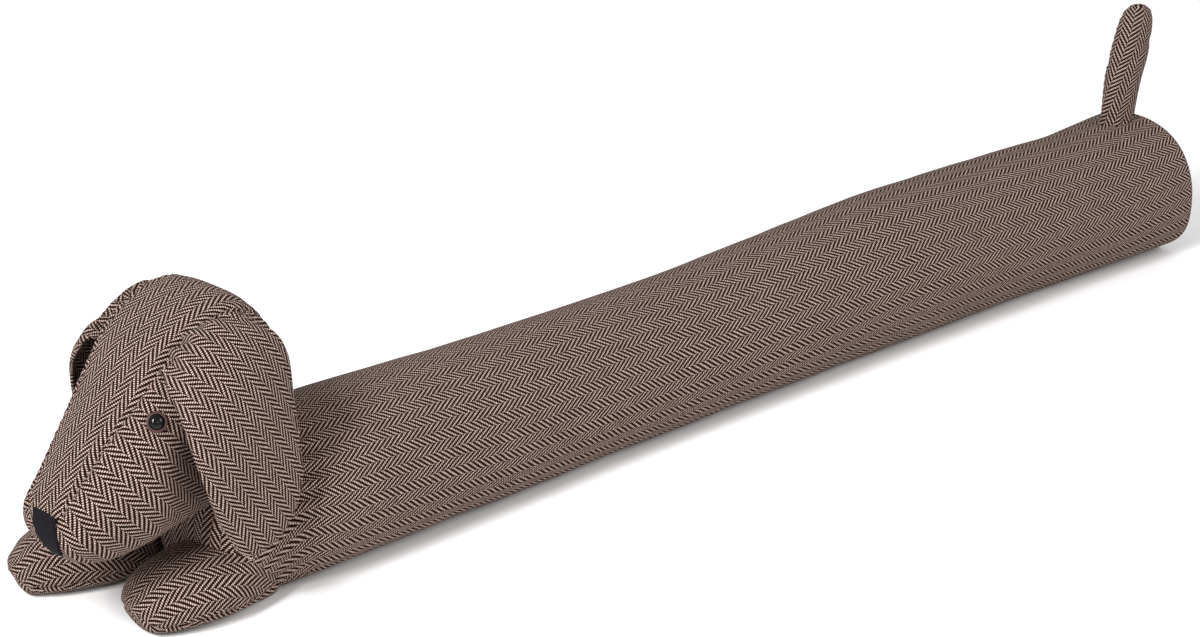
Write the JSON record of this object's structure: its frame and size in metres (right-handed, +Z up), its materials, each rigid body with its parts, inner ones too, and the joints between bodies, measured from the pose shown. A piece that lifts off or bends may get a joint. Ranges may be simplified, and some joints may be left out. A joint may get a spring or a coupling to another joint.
{
  "type": "draught excluder",
  "caption": "Long herringbone tweed draught excluder in the shape of a lying sausage dog, filled, to lay along the foot of a door.",
  "frame": {"origin": "on the floor under the tube, near the middle of the whole length and in the middle of its width", "axes": "+X along the body from the head to the tail, +Z up, and the dog's left side faces -Y"},
  "size_m": [0.9754, 0.1587, 0.191],
  "materials": {
    "tweed": "brown and cream herringbone wool tweed, matt with a faint fuzz",
    "felt": "black matt felt",
    "eye_rim": "semi-gloss reddish-brown plastic",
    "eye_pupil": "black high-gloss plastic dome"
  },
  "bodies": {
    "root": {"body": "tweed", "head": "tweed", "paw_left": "tweed", "paw_right": "tweed", "ear_left": "tweed", "ear_right": "tweed", "tail": "tweed", "nose": "felt", "eye_rim_left": "eye_rim", "eye_rim_right": "eye_rim", "eye_pupil_left": "eye_pupil", "eye_pupil_right": "eye_pupil"}
  },
  "joints": []
}
